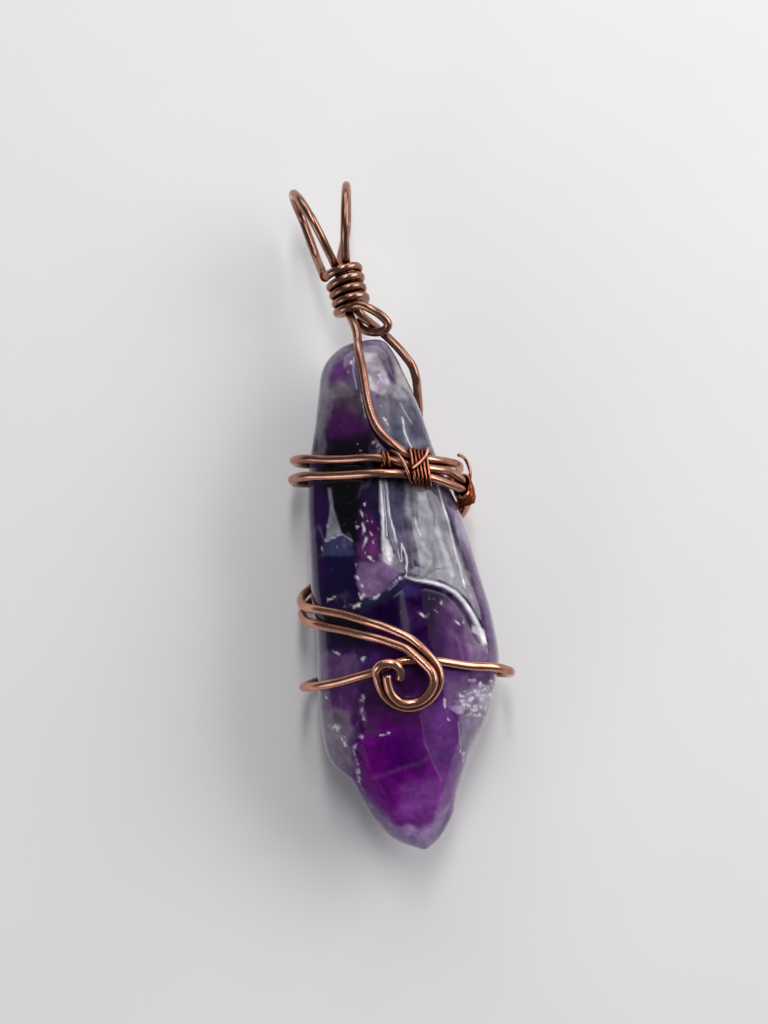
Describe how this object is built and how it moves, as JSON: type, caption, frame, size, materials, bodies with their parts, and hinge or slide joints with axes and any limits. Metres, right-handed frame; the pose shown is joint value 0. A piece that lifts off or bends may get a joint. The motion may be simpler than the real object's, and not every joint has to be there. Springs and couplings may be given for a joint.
{
  "type": "crystal point pendant",
  "caption": "Polished amethyst point held in bent copper wire, with bands, a swirl, a coiled neck and a two-loop bail for a chain.",
  "frame": {"origin": "centre of the bounding box's base, on the surface that it lies on", "axes": "+Y from the crystal's tip towards the bail, +Z out of the front face, +X to the right as seen from the front"},
  "size_m": [0.0193, 0.0616, 0.0147],
  "materials": {
    "amethyst": "polished",
    "copper": "aged, bright on top",
    "fine copper": "bright"
  },
  "bodies": {
    "root": {"crystal": "amethyst", "left_loop": "copper", "right_loop": "copper", "neck_coil": "copper", "wrap_wire": "copper", "side_wire": "copper", "outer_swirl": "copper", "inner_swirl": "copper", "cross_wire": "copper", "front_binding": "fine copper", "side_binding": "fine copper"}
  },
  "joints": []
}
